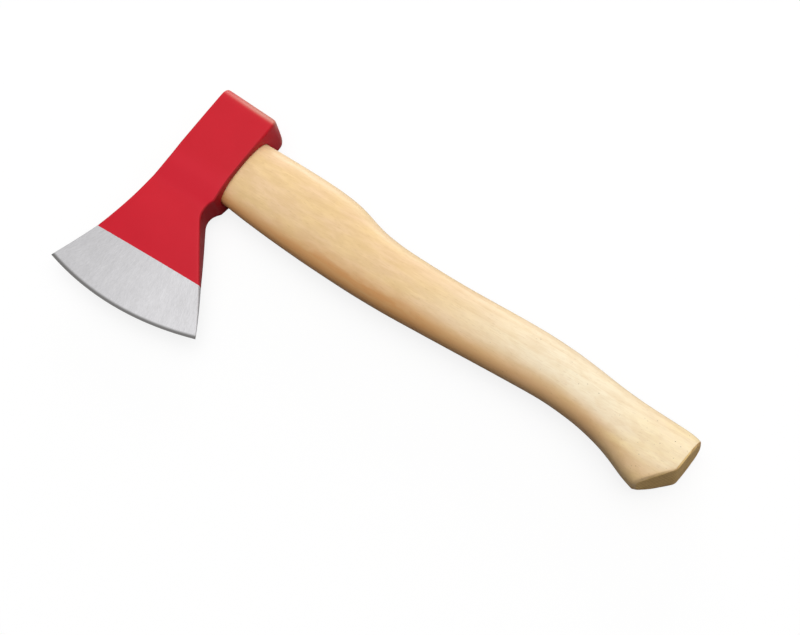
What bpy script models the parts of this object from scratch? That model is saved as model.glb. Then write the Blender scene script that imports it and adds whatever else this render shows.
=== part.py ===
"""A hatchet: a drop-forged head wedged onto a curved wooden handle, lying on its side.

Lengths are in metres. +X runs along the handle from the head to the butt, +Y points from the
cutting edge to the poll, and +Z is up through the thickness. Shapes are first laid out with x = 0
on the top face of the head and with y = z = 0 on the axis of the eye. "Reach" is a distance from
that axis towards the cutting edge, which is -Y.
"""
from math import acos, ceil, cos, pi, radians, sin, sqrt, tan

import bmesh
import bpy
from mathutils import Vector

# Fits
FIT_GAP = 0.0003              # between the tongue, the wedges and the walls of the eye

# Head: eye, poll and boss
HEAD_DEPTH = 0.0413           # top face to underside, along the handle
HEAD_THICKNESS = 0.027        # across the cheeks at the eye
POLL_REACH = 0.0377           # axis of the eye to the middle of the flat poll face
POLL_TILT = radians(3.0)      # the poll face leans out by this towards the top
POLL_EDGE_RADIUS = 0.007      # long edges of the poll face
POLL_TOP_RADIUS = 0.001       # corner of the poll and the top face, seen from the side
POLL_UNDER_RADIUS = 0.0055    # corner of the poll and the underside, seen from the side
TOP_EDGE_RADIUS = 0.0008      # edges round the top face
UNDER_EDGE_RADIUS = 0.0017    # edges round the underside
EDGE_SHARE = 0.7              # where the head is thin, the edges take this much of its half
EYE_LENGTH = 0.0468           # oval hole, along Y
EYE_WIDTH = 0.0200            # oval hole, along Z
EYE_SPREAD = 0.0005           # how much the eye widens on each side at the top
EYE_CHAMFER = 0.0005          # at both mouths of the eye
OVAL_POWER = 2.25             # 2 is an ellipse, higher is squarer

# Head: notch, blade and bit
CHEEK_FLAT_REACH = 0.009      # the cheeks are flat up to here
NOTCH_REACH = 0.0345          # deepest point of the round notch behind the boss
NOTCH_RISE = 0.0026           # its depth above the underside
NOTCH_RADIUS = 0.011
BEARD_ANGLE = radians(37.0)   # lower edge of the blade where it leaves the notch
HEEL_ANGLE = radians(31.0)    # the same edge at the heel
FLARE_REACH = 0.012           # the top edge starts to curve up to the toe here
FLARE_MIDDLE_REACH = 0.040    # and turns up more steeply from here
FLARE_MIDDLE_RISE = 0.0037
FLARE_MIDDLE_ANGLE = radians(5.7)
TOE_ANGLE = radians(23.0)     # top edge at the toe
TOE_REACH = 0.1069
TOE_RISE = 0.0257             # toe above the top face
HEEL_REACH = 0.1011
HEEL_DROP = 0.0430            # heel below the underside of the eye
EDGE_BULGE = 0.0078           # the cutting edge's arc beyond the line from toe to heel
BIT_TOE_REACH = 0.0769        # the ground bit starts on the line between these two
BIT_HEEL_REACH = 0.0739
BIT_THICKNESS = 0.0050        # where the grinding starts
HONED_THICKNESS = 0.0011      # where the honed edge bevel starts
HONED_SHARE = 0.93            # of the way from the bit line to the edge
CHEEK_CROWN = 0.0007          # the blade is thicker by this in the middle of its height
# Half thickness of the shoulder and the blade, by reach
SHOULDER_PROFILE = (
    (0.0145, 0.0129),
    (0.0205, 0.0118),
    (0.0274, 0.0098),
    (0.0345, 0.0079),
    (0.0430, 0.0073),
    (0.0520, 0.0064),
    (0.0600, 0.0052),
    (0.0680, 0.0037),
)

# Handle
HANDLE_LENGTH = 0.3581        # tip of the tongue to the butt
TONGUE_PROUD = 0.0020         # tongue above the top face of the head
TONGUE_CHAMFER = 0.0006
BUTT_TILT = radians(4.5)      # the butt face leans by this from square
BUTT_RIDGE = -0.0197          # y of the ridge between the butt face and the toe cut
TOE_CUT_ANGLE = radians(42.5)  # the toe cut, from square
BUTT_BEND_START = 0.040       # cross-sections start to follow the butt cuts here
BUTT_EDGE_RADIUS = 0.0020
BUTT_POWER = 2.6              # the section grows squarer down to the butt
# Outline near the head: (distance below the underside, back, belly, half thickness)
NECK_STATIONS = (
    (0.018, 0.0230, 0.0250, 0.0107),
    (0.047, 0.0225, 0.0270, 0.0115),
    (0.070, 0.0206, 0.0280, 0.0118),
    (0.100, 0.0130, 0.0285, 0.0120),
    (0.119, 0.0112, 0.0282, 0.0120),
)
# Outline near the butt: (distance above the butt, back, belly, half thickness)
GRIP_STATIONS = (
    (0.166, 0.0107, 0.0267, 0.0118),
    (0.105, 0.0122, 0.0231, 0.0117),
    (0.086, 0.0115, 0.0223, 0.0118),
    (0.068, 0.0096, 0.0233, 0.0120),
    (0.050, 0.0072, 0.0264, 0.0124),
    (0.037, 0.0061, 0.0305, 0.0128),
    (0.0265, 0.0057, 0.0349, 0.0132),
    (0.016, 0.0054, 0.0376, 0.0134),
    (0.006, 0.0050, 0.0384, 0.0134),
    (0.000, 0.0036, 0.0384, 0.0134),
)

# Wedges in the eye
WEDGE_DEPTH = 0.028           # tip of the wood wedge below the top face
WEDGE_TOP = 0.0048            # its thickness at the top of the tongue
WEDGE_TIP = 0.0014            # its thickness at the tip
KERF_SPARE = 0.003            # the kerf runs this much deeper than the wedge
RING_RADIUS = 0.0070          # outside of the steel ring wedge
RING_WALL = 0.0013
RING_TIP_WALL = 0.0004        # the ring is ground thin where it enters the wood
RING_DEPTH = 0.011            # below the top of the tongue

# Fineness
OVAL_POINTS = 48              # round each cross-section of the handle
HANDLE_STEP = 0.0066          # between cross-sections of the handle
CHEEK_POINTS = 14             # across each cheek
FILLET_STEPS = 3
SHOULDER_STEPS = 6
NOTCH_STEPS = 7
BLADE_STEPS = 7
BIT_STEPS = 5
RING_STEPS = 40
BEND_PASSES = 8               # passes that bend a cross-section onto the butt's cuts
SHARP_ANGLE = radians(32)     # edges steeper than this are shaded sharp
WELD = 0.000002               # corners closer than this are one corner

BUTT_X = HANDLE_LENGTH - TONGUE_PROUD
HALF_HEAD = HEAD_THICKNESS / 2
OVERSHOOT = 0.002             # cutters stick out by this


def remove_everything():
    for item in list(bpy.data.objects):
        bpy.data.objects.remove(item, do_unlink=True)


def smooth_curve(points, at):
    """Value at a place on a smooth curve through points, with no overshoot between them."""
    points = sorted(points)
    if at <= points[0][0]:
        return points[0][1]
    if at >= points[-1][0]:
        return points[-1][1]
    slopes = [(b[1] - a[1]) / (b[0] - a[0]) for a, b in zip(points, points[1:])]
    tangents = [slopes[0]]
    for left, right in zip(slopes, slopes[1:]):
        tangents.append(0.0 if left * right <= 0 else 2 * left * right / (left + right))
    tangents.append(slopes[-1])
    index = max(i for i in range(len(slopes)) if points[i][0] <= at)
    start, end = points[index], points[index + 1]
    return hermite(start, end, tangents[index], tangents[index + 1], at)


def hermite(start, end, start_slope, end_slope, at):
    """Cubic from start to end, both (place, value), with the given slopes at its ends."""
    span = end[0] - start[0]
    t = (at - start[0]) / span
    return (
        (2 * t**3 - 3 * t**2 + 1) * start[1]
        + (t**3 - 2 * t**2 + t) * span * start_slope
        + (3 * t**2 - 2 * t**3) * end[1]
        + (t**3 - t**2) * span * end_slope
    )


def loft(sections):
    """A closed body through sections with equal numbers of points, by repeated extrusion."""
    bm = bmesh.new()
    verts = [bm.verts.new(point) for point in sections[0]]
    cap = bm.faces.new(verts)
    for number, section in enumerate(sections[1:]):
        made = bmesh.ops.extrude_face_region(bm, geom=[cap])
        if number > 0:
            bmesh.ops.delete(bm, geom=[cap], context='FACES_ONLY')
        cap = next(item for item in made["geom"] if isinstance(item, bmesh.types.BMFace))
        order = {vert: index for index, vert in enumerate(verts)}
        placed = [None] * len(verts)
        for vert in cap.verts:
            below = next(e.other_vert(vert) for e in vert.link_edges if e.other_vert(vert) in order)
            placed[order[below]] = vert
        for vert, point in zip(placed, section):
            vert.co = point
        verts = placed
    return bm, cap, verts


def make_object(name, bm, material=None):
    bmesh.ops.recalc_face_normals(bm, faces=bm.faces)
    mesh = bpy.data.meshes.new(name)
    bm.to_mesh(mesh)
    bm.free()
    mesh.shade_smooth()
    mesh.set_sharp_from_angle(angle=SHARP_ANGLE)
    made = bpy.data.objects.new(name, mesh)
    bpy.context.collection.objects.link(made)
    if material:
        mesh.materials.append(material)
    else:
        made.hide_render = True
        made.display_type = 'WIRE'
    return made


def make_material(name, colour, roughness, metallic):
    material = bpy.data.materials.new(name)
    material.use_nodes = True
    shader = material.node_tree.nodes["Principled BSDF"]
    shader.inputs["Base Color"].default_value = (*colour, 1.0)
    shader.inputs["Roughness"].default_value = roughness
    shader.inputs["Metallic"].default_value = metallic
    return material


def combine(piece, cutter, operation):
    step = piece.modifiers.new(f"{operation.lower()} {cutter.name}", 'BOOLEAN')
    step.operation = operation
    step.solver = 'EXACT'
    step.object = cutter


# ---------------------------------------------------------------- oval sections

def oval(x, back, belly, half_width, power=OVAL_POWER):
    """Points of a squarish oval across the handle, from y = back round to y = -belly and on."""
    centre = (back - belly) / 2
    half_length = (back + belly) / 2
    points = []
    for index in range(OVAL_POINTS):
        angle = 2 * pi * index / OVAL_POINTS
        y = abs(cos(angle)) ** (2 / power) * (1 if cos(angle) > 0 else -1)
        z = abs(sin(angle)) ** (2 / power) * (1 if sin(angle) > 0 else -1)
        points.append(Vector((x, centre + half_length * y, half_width * z)))
    return points


def eye_oval(x, grow):
    """Section of the eye at x, grown by a clearance."""
    spread = EYE_SPREAD * (1 - max(0.0, x) / HEAD_DEPTH)
    half_length = EYE_LENGTH / 2 + grow
    return oval(x, half_length, half_length, EYE_WIDTH / 2 + spread + grow)


def eye_body(grow, chamfer):
    """A body that fills the eye and passes both its mouths."""
    sections = [
        eye_oval(-TONGUE_PROUD - OVERSHOOT, grow + chamfer),
        eye_oval(0.0, grow + chamfer),
        eye_oval(EYE_CHAMFER, grow),
        eye_oval(HEAD_DEPTH - EYE_CHAMFER, grow),
        eye_oval(HEAD_DEPTH, grow + chamfer),
        eye_oval(HEAD_DEPTH + OVERSHOOT, grow + chamfer),
    ]
    return loft(sections)[0]


# ---------------------------------------------------------------- head

def notch_x(angle):
    return HEAD_DEPTH - NOTCH_RISE + NOTCH_RADIUS * (1 - cos(angle))


def notch_reach(angle):
    return NOTCH_REACH + NOTCH_RADIUS * sin(angle)


BOSS_ANGLE = -acos(1 - NOTCH_RISE / NOTCH_RADIUS)
BOSS_REACH = notch_reach(BOSS_ANGLE)
BEARD_REACH = notch_reach(BEARD_ANGLE)


def under_edge(reach):
    """x of the head's lower edge: underside, round notch, then the beard down to the heel."""
    if reach <= BOSS_REACH:
        return HEAD_DEPTH
    if reach <= BEARD_REACH:
        offset = reach - NOTCH_REACH
        return HEAD_DEPTH - NOTCH_RISE + NOTCH_RADIUS - sqrt(NOTCH_RADIUS**2 - offset**2)
    start = (BEARD_REACH, notch_x(BEARD_ANGLE))
    end = (HEEL_REACH, HEAD_DEPTH + HEEL_DROP)
    return hermite(start, end, tan(BEARD_ANGLE), tan(HEEL_ANGLE), reach)


def top_edge(reach):
    """x of the head's upper edge: straight over the eye, then flaring up to the toe."""
    start = (FLARE_REACH, 0.0)
    middle = (FLARE_MIDDLE_REACH, -FLARE_MIDDLE_RISE)
    if reach <= FLARE_REACH:
        return 0.0
    if reach <= FLARE_MIDDLE_REACH:
        return hermite(start, middle, 0.0, -tan(FLARE_MIDDLE_ANGLE), reach)
    toe = (TOE_REACH, -TOE_RISE)
    return hermite(middle, toe, -tan(FLARE_MIDDLE_ANGLE), -tan(TOE_ANGLE), reach)


def cheek_half(reach):
    """Half thickness of the cheeks between the eye and the bit."""
    points = [(CHEEK_FLAT_REACH, HALF_HEAD), *SHOULDER_PROFILE, (BIT_HEEL_REACH, BIT_THICKNESS / 2)]
    return smooth_curve(points, reach)


def head_section(
    top_reach, under_reach, half, bulge=0.0, inset_top=0.0, inset_under=0.0, crown=0.0,
):
    """Closed section of the head from its upper edge to its lower edge and back."""
    top = top_edge(top_reach) + inset_top
    under = under_edge(under_reach) - inset_under
    height = under - top
    top_radius = min(TOP_EDGE_RADIUS, EDGE_SHARE * half)
    under_radius = min(UNDER_EDGE_RADIUS, EDGE_SHARE * half)
    upper = []
    for step in range(FILLET_STEPS + 1):
        angle = pi / 2 * step / FILLET_STEPS
        upper.append((top_radius * (1 - sin(angle)), half - top_radius * (1 - cos(angle))))
    upper.reverse()
    for step in range(1, CHEEK_POINTS):
        share = step / CHEEK_POINTS
        along = top_radius + (height - top_radius - under_radius) * share
        upper.append((along, half + crown * 4 * share * (1 - share)))
    for step in range(FILLET_STEPS + 1):
        angle = pi / 2 * step / FILLET_STEPS
        drop = under_radius * (1 - cos(angle))
        upper.append((height - under_radius * (1 - sin(angle)), half - drop))
    upper = sorted(upper)
    outline = upper + [(along, -z) for along, z in reversed(upper)]
    points = []
    for along, z in outline:
        share = along / height
        reach = top_reach + (under_reach - top_reach) * share + arc_bulge(share, bulge, height)
        points.append(Vector((top + along, -reach, z)))
    return points


def arc_bulge(share, bulge, chord):
    """How far a circular arc of the given bulge stands beyond its chord."""
    if bulge <= 0:
        return 0.0
    radius = (chord**2 / 4 + bulge**2) / (2 * bulge)
    return sqrt(radius**2 - (chord * (share - 0.5)) ** 2) - (radius - bulge)


def poll_reach(x):
    """Distance from the axis of the eye to the leaning poll face."""
    return POLL_REACH + (HEAD_DEPTH / 2 - x) * tan(POLL_TILT)


def poll_sections():
    """Rounded edges of the poll, from its flat face to the flat cheeks."""
    sections = []
    largest = max(POLL_EDGE_RADIUS, POLL_TOP_RADIUS, POLL_UNDER_RADIUS)
    steps = 2 * FILLET_STEPS
    for step in range(steps + 1):
        depth = largest * (1 - cos(pi / 2 * step / steps))
        half = HALF_HEAD - rounding(POLL_EDGE_RADIUS, depth)
        inset_top = rounding(POLL_TOP_RADIUS, depth)
        inset_under = rounding(POLL_UNDER_RADIUS, depth)
        top_reach = depth - poll_reach(inset_top)
        under_reach = depth - poll_reach(HEAD_DEPTH - inset_under)
        sections.append(head_section(
            top_reach, under_reach, half, inset_top=inset_top, inset_under=inset_under,
        ))
    return sections


def rounding(radius, depth):
    """Inset of a quarter round at a depth below the face that it starts from."""
    return radius - sqrt(radius**2 - max(0.0, radius - depth) ** 2)


def eye_and_notch_sections():
    reaches = [CHEEK_FLAT_REACH - POLL_REACH / 2, CHEEK_FLAT_REACH]
    for step in range(1, SHOULDER_STEPS):
        reaches.append(CHEEK_FLAT_REACH + (BOSS_REACH - CHEEK_FLAT_REACH) * step / SHOULDER_STEPS)
    for step in range(NOTCH_STEPS + 1):
        angle = BOSS_ANGLE + (BEARD_ANGLE - BOSS_ANGLE) * step / NOTCH_STEPS
        reaches.append(notch_reach(angle))
    return [head_section(reach, reach, cheek_half(reach)) for reach in reaches]


def blade_sections():
    sections = []
    for step in range(1, BLADE_STEPS + 1):
        share = step / BLADE_STEPS
        top_reach = BEARD_REACH + (BIT_TOE_REACH - BEARD_REACH) * share
        under_reach = BEARD_REACH + (BIT_HEEL_REACH - BEARD_REACH) * share
        crown = CHEEK_CROWN * sin(pi / 2 * share)
        sections.append(head_section(top_reach, under_reach, cheek_half(under_reach), crown=crown))
    return sections


def bit_sections():
    """The ground bit, from the straight bit line to the curved edge, where the thickness is nil."""
    sections = []
    shares = [HONED_SHARE * step / BIT_STEPS for step in range(1, BIT_STEPS + 1)] + [1.0]
    for share in shares:
        top_reach = BIT_TOE_REACH + (TOE_REACH - BIT_TOE_REACH) * share
        under_reach = BIT_HEEL_REACH + (HEEL_REACH - BIT_HEEL_REACH) * share
        ground = share / HONED_SHARE
        half = BIT_THICKNESS / 2 + (HONED_THICKNESS - BIT_THICKNESS) / 2 * ground
        crown = CHEEK_CROWN * (1 - ground)
        if share == 1.0:
            half = 0.0
            crown = 0.0
        bulge = EDGE_BULGE * share
        sections.append(head_section(top_reach, under_reach, half, bulge, crown=crown))
    return sections


def make_head():
    sections = poll_sections() + eye_and_notch_sections() + blade_sections() + bit_sections()
    bm, cap, _ = loft(sections)
    bmesh.ops.delete(bm, geom=[cap], context='FACES_ONLY')
    bmesh.ops.remove_doubles(bm, verts=bm.verts, dist=WELD)
    paint = make_material("red paint", colour=(0.60, 0.03, 0.04), roughness=0.35, metallic=0.0)
    head = make_object("axe_head", bm, paint)
    eye = make_object("eye_cutter", eye_body(0.0, EYE_CHAMFER))
    combine(head, eye, 'DIFFERENCE')
    return head


# ---------------------------------------------------------------- handle

def handle_stations():
    """(x, back, belly, half thickness) along the handle below the head."""
    half_eye = EYE_LENGTH / 2 - FIT_GAP
    stations = [(HEAD_DEPTH, half_eye, half_eye, EYE_WIDTH / 2 - FIT_GAP)]
    stations += [(HEAD_DEPTH + below, *rest) for below, *rest in NECK_STATIONS]
    stations += [(BUTT_X - above, *rest) for above, *rest in GRIP_STATIONS]
    return stations


def butt_cut(y):
    """x of the sawn butt: a nearly square face, then a steep cut across its toe."""
    face = BUTT_X - (GRIP_STATIONS[-1][1] - y) * tan(BUTT_TILT)
    ridge = BUTT_X - (GRIP_STATIONS[-1][1] - BUTT_RIDGE) * tan(BUTT_TILT)
    return face if y >= BUTT_RIDGE else ridge - (BUTT_RIDGE - y) * tan(TOE_CUT_ANGLE)


def handle_section(x):
    """Section of the handle; near the butt it bends so that the last one lies on the cuts."""
    columns = list(zip(*handle_stations()))
    powers = [
        (columns[0][0], OVAL_POWER),
        (BUTT_X - GRIP_STATIONS[1][0], OVAL_POWER),
        (BUTT_X, BUTT_POWER),
    ]

    def flat_section(at):
        lines = [smooth_curve(list(zip(columns[0], column)), at) for column in columns[1:]]
        return oval(at, *lines, smooth_curve(powers, at))

    share = max(0.0, (x - (BUTT_X - BUTT_BEND_START)) / BUTT_BEND_START) ** 2
    if share == 0.0:
        return flat_section(x)
    bent = []
    for index in range(OVAL_POINTS):
        at = x
        for _ in range(BEND_PASSES):
            point = flat_section(at)[index]
            at = x + share * (butt_cut(point.y) - BUTT_X)
        bent.append(Vector((at, point.y, point.z)))
    return bent


def seat_ridge_points(points):
    """Move the two points nearest the butt's ridge onto it, and give their indices."""
    found = []
    for side in (1, -1):
        near = [i for i, point in enumerate(points) if point.z * side > 0]
        index = min(near, key=lambda i: abs(points[i].y - BUTT_RIDGE))
        points[index] = Vector((butt_cut(BUTT_RIDGE), BUTT_RIDGE, points[index].z))
        found.append(index)
    return found


def flatten_butt(bm):
    """Set the corners of the sawn face and of the toe cut on their planes, inside the rounding."""
    for face in bm.faces:
        if len(face.verts) > OVAL_POINTS / 4 and face.calc_center_median().x > HEAD_DEPTH:
            for vert in face.verts:
                vert.co.x = butt_cut(vert.co.y)


def make_handle():
    tongue_tip = eye_oval(-TONGUE_PROUD, -FIT_GAP - TONGUE_CHAMFER)
    tongue_side = [eye_oval(x, -FIT_GAP) for x in (TONGUE_CHAMFER - TONGUE_PROUD, 0.0, HEAD_DEPTH / 2)]
    steps = ceil((BUTT_X - HEAD_DEPTH) / HANDLE_STEP)
    places = [HEAD_DEPTH + (BUTT_X - HEAD_DEPTH) * step / steps for step in range(steps + 1)]
    sections = [tongue_tip, *tongue_side, *[handle_section(x) for x in places]]
    ridge = seat_ridge_points(sections[-1])
    bm, cap, verts = loft(sections)
    bmesh.utils.face_split(cap, verts[ridge[0]], verts[ridge[1]])
    rim = [edge for edge in bm.edges if edge.verts[0] in verts and edge.verts[1] in verts]
    bmesh.ops.bevel(
        bm, geom=rim, offset=BUTT_EDGE_RADIUS, offset_type='OFFSET', affect='EDGES',
        segments=FILLET_STEPS, profile=0.5, material=-1,
    )
    flatten_butt(bm)
    wood = make_material("pale wood", colour=(0.78, 0.58, 0.34), roughness=0.45, metallic=0.0)
    return make_object("handle", bm, wood)


# ---------------------------------------------------------------- wedges

def wedge_body(clearance, tip_x):
    """A tapered slab across the eye, thin end down, with a clearance on each side."""
    top_x = -TONGUE_PROUD
    slope = (WEDGE_TOP - WEDGE_TIP) / 2 / (WEDGE_DEPTH - top_x)

    def half(x):
        return WEDGE_TIP / 2 + slope * (WEDGE_DEPTH - x) + clearance

    first_x = top_x - (OVERSHOOT if clearance else 0.0)
    corners = [
        (first_x, half(first_x)),
        (tip_x, half(tip_x)),
        (tip_x, -half(tip_x)),
        (first_x, -half(first_x)),
    ]
    side = EYE_LENGTH / 2 + OVERSHOOT
    return loft([[Vector((x, y, z)) for x, z in corners] for y in (-side, side)])[0]


def ring_body(clearance):
    """A thin-edged tube, spun about the axis of the eye."""
    start = -TONGUE_PROUD - (OVERSHOOT if clearance else 0.0)
    end = RING_DEPTH - TONGUE_PROUD + clearance
    outside = RING_RADIUS + clearance
    profile = [
        (start, outside),
        (end, outside),
        (end, RING_RADIUS - RING_TIP_WALL - clearance),
        (start, RING_RADIUS - RING_WALL - clearance),
    ]
    bm = bmesh.new()
    verts = [bm.verts.new((x, radius, 0.0)) for x, radius in profile]
    edges = [bm.edges.new((a, b)) for a, b in zip(verts, verts[1:] + verts[:1])]
    bmesh.ops.spin(
        bm, geom=verts + edges, cent=(0, 0, 0), axis=(1, 0, 0), angle=2 * pi,
        steps=RING_STEPS, use_merge=True,
    )
    bmesh.ops.remove_doubles(bm, verts=bm.verts, dist=WELD)
    return bm


def make_wedges(handle):
    hardwood = make_material("darker wood", colour=(0.55, 0.36, 0.18), roughness=0.6, metallic=0.0)
    wedge = make_object("wood_wedge", wedge_body(0.0, WEDGE_DEPTH), hardwood)
    trim = make_object("wedge_trimmer", eye_body(-FIT_GAP, 0.0))
    kerf = make_object("kerf_cutter", wedge_body(FIT_GAP, WEDGE_DEPTH + KERF_SPARE))
    groove = make_object("groove_cutter", ring_body(FIT_GAP))
    combine(wedge, trim, 'INTERSECT')
    combine(wedge, groove, 'DIFFERENCE')
    combine(handle, kerf, 'DIFFERENCE')
    combine(handle, groove, 'DIFFERENCE')
    steel = make_material("bare steel", colour=(0.50, 0.50, 0.52), roughness=0.35, metallic=1.0)
    ring = make_object("ring_wedge", ring_body(0.0), steel)
    return wedge, ring


def lay_on_origin(pieces):
    """Carry everything on one empty, so that the bottom centre of the part is the origin."""
    bpy.context.view_layer.update()
    view = bpy.context.evaluated_depsgraph_get()
    corners = [Vector(corner) for piece in pieces for corner in piece.evaluated_get(view).bound_box]
    low = [min(corner[axis] for corner in corners) for axis in range(3)]
    high = [max(corner[axis] for corner in corners) for axis in range(3)]
    carrier = bpy.data.objects.new("hatchet", None)
    bpy.context.collection.objects.link(carrier)
    carrier.location = (-(low[0] + high[0]) / 2, -(low[1] + high[1]) / 2, -low[2])
    for item in bpy.data.objects:
        if item.type == 'MESH':
            item.parent = carrier


remove_everything()
axe_head = make_head()
axe_handle = make_handle()
wood_wedge, ring_wedge = make_wedges(axe_handle)
lay_on_origin([axe_head, axe_handle, wood_wedge, ring_wedge])
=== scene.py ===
"""A hatchet lying on its side: the finish of its head, handle and wedges, in soft studio light.

Lengths are in metres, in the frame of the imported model: +X runs from the head to the butt, +Y from
the cutting edge to the poll, and +Z is up through the thickness of the head.
"""
from math import atan2, radians

import bmesh
import bpy
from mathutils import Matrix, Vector


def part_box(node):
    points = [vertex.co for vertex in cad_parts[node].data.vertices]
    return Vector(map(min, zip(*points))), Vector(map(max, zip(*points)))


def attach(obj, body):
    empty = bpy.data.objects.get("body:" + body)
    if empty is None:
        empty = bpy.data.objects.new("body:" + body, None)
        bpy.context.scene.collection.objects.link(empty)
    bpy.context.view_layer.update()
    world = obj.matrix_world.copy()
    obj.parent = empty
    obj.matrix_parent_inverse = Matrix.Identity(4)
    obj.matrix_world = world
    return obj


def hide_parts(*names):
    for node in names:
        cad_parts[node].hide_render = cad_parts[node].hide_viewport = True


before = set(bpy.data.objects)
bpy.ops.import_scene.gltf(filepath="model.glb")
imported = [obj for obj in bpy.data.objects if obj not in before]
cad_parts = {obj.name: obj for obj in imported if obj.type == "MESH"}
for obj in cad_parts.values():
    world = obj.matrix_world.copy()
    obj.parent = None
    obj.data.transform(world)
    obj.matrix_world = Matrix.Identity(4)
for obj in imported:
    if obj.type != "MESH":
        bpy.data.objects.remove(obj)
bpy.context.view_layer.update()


# ---------------------------------------------------------------- handle
# One piece of beech, sawn to the curved outline, shaped oval in section, sanded and varnished. Its
# tongue fills the eye of the head, and its butt is cut off nearly square and then across the toe.

WELD = 0.000002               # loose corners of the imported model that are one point
CREASE_ANGLE = radians(25)    # edges sharper than this stay edges
NEARLY_FLAT = radians(20)     # triangles that meet at less than this may join
NEARLY_SQUARE = radians(60)   # into faces whose corners are no further than this from square


def finished_copy(name, node, levels, keeps_edge=None):
    """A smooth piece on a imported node: its triangles merged, its edges creased, its faces divided."""
    shape = bmesh.new()
    shape.from_mesh(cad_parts[node].data)
    bmesh.ops.remove_doubles(shape, verts=shape.verts, dist=WELD)
    bmesh.ops.join_triangles(
        shape, faces=shape.faces, cmp_seam=False, cmp_sharp=False, cmp_uvs=False, cmp_vcols=False,
        cmp_materials=False, angle_face_threshold=NEARLY_FLAT, angle_shape_threshold=NEARLY_SQUARE,
    )
    crease = shape.edges.layers.float.new("crease_edge")
    for edge in shape.edges:
        if edge.is_manifold and edge.calc_face_angle() > CREASE_ANGLE:
            edge[crease] = 1.0
        elif keeps_edge and keeps_edge(edge):
            edge[crease] = 1.0
    mesh = bpy.data.meshes.new(name)
    shape.to_mesh(mesh)
    shape.free()
    mesh.shade_smooth()
    mesh.set_sharp_from_angle(angle=CREASE_ANGLE)
    piece = bpy.data.objects.new(name, mesh)
    bpy.context.collection.objects.link(piece)
    finer = piece.modifiers.new("finer faces", 'SUBSURF')
    finer.levels = levels
    finer.render_levels = levels
    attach(piece, "root")
    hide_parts(node)
    return piece


def fill_inputs(tree, made, inputs):
    """Set a node's inputs to values, or join them to other nodes' outputs."""
    for socket, value in inputs.items():
        if isinstance(value, bpy.types.NodeSocket):
            tree.links.new(value, made.inputs[socket])
        else:
            made.inputs[socket].default_value = value


def place_node(tree, kind, inputs=None, **settings):
    """A shader node with its settings and inputs."""
    made = tree.nodes.new("ShaderNode" + kind)
    for setting, value in settings.items():
        setattr(made, setting, value)
    fill_inputs(tree, made, inputs or {})
    return made


def placed_group(tree, group, inputs):
    """The outputs of a node group, placed with its own values."""
    made = tree.nodes.new("ShaderNodeGroup")
    made.node_tree = group
    fill_inputs(tree, made, inputs)
    return made.outputs


def calculated(tree, operation, first, second=0.0, third=0.0):
    """The output of a Math node."""
    return place_node(tree, "Math", {0: first, 1: second, 2: third}, operation=operation).outputs[0]


def product(tree, first, *others):
    """Several values multiplied together."""
    for other in others:
        first = calculated(tree, 'MULTIPLY', first, other)
    return first


def lessened(tree, value, share, where):
    """A value that loses a share of itself where a mask is 1."""
    return product(tree, value, calculated(tree, 'MULTIPLY_ADD', where, -share, 1.0))


def blended(tree, factor, first, second, blend_type='MIX'):
    """The output of a Mix node between two colours."""
    mixer = place_node(
        tree, "Mix", {0: factor, 6: first, 7: second}, data_type='RGBA', blend_type=blend_type,
    )
    return mixer.outputs[2]


def stepped(tree, value, low, high, low_result=0.0, high_result=1.0):
    """A smooth step of a value, from one result at low to another at high."""
    step = place_node(
        tree, "MapRange",
        {"Value": value, "From Min": low, "From Max": high, "To Min": low_result, "To Max": high_result},
        interpolation_type='SMOOTHSTEP',
    )
    return step.outputs["Result"]


def part_of(tree, vector, axis):
    """One part of a vector: X, Y or Z."""
    return place_node(tree, "SeparateXYZ", {0: vector}).outputs[axis]


def length_of(tree, vector):
    """The length of a vector."""
    return place_node(tree, "VectorMath", {0: vector}, operation='LENGTH').outputs["Value"]


def stretched(tree, vector, by):
    """A vector multiplied by another, axis by axis."""
    return place_node(tree, "VectorMath", {0: vector, 1: by}, operation='MULTIPLY').outputs["Vector"]


def seen_from(tree, vector, centre, flat_axis):
    """A vector measured from a centre, with one axis (0, 1 or 2) pressed flat."""
    scale = Vector((1.0, 1.0, 1.0))
    scale[flat_axis] = 0.0
    mapping = place_node(tree, "Mapping", {"Vector": vector, "Location": -centre, "Scale": scale})
    return mapping.outputs[0]


def noise(tree, vector, scale, detail=2.0, roughness=0.5):
    """The output of a noise, with a mean of 0.5."""
    cloud = place_node(
        tree, "TexNoise", {"Vector": vector, "Scale": scale, "Detail": detail, "Roughness": roughness},
    )
    return cloud.outputs["Fac"]


def relief(tree, height, strength, distance):
    """The normals of a fine relief."""
    bump = place_node(tree, "Bump", {"Height": height, "Strength": strength, "Distance": distance})
    return bump.outputs["Normal"]


def new_group(name, inputs, outputs):
    """An empty node group with named inputs (kind and starting value) and outputs."""
    group = bpy.data.node_groups.new(name, 'ShaderNodeTree')
    for label, (kind, start) in inputs.items():
        socket = group.interface.new_socket(label, in_out='INPUT', socket_type='NodeSocket' + kind)
        if start is not None:
            socket.default_value = start
    for label, kind in outputs.items():
        group.interface.new_socket(label, in_out='OUTPUT', socket_type='NodeSocket' + kind)
    given = group.nodes.new("NodeGroupInput").outputs
    results = group.nodes.new("NodeGroupOutput")
    return group, given, results


def new_material(name):
    """A material with its node tree, its shader and the object's own coordinates."""
    material = bpy.data.materials.new(name)
    material.use_nodes = True
    tree = material.node_tree
    shader = tree.nodes["Principled BSDF"]
    place = place_node(tree, "TexCoord").outputs
    return material, tree, shader, place


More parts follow.
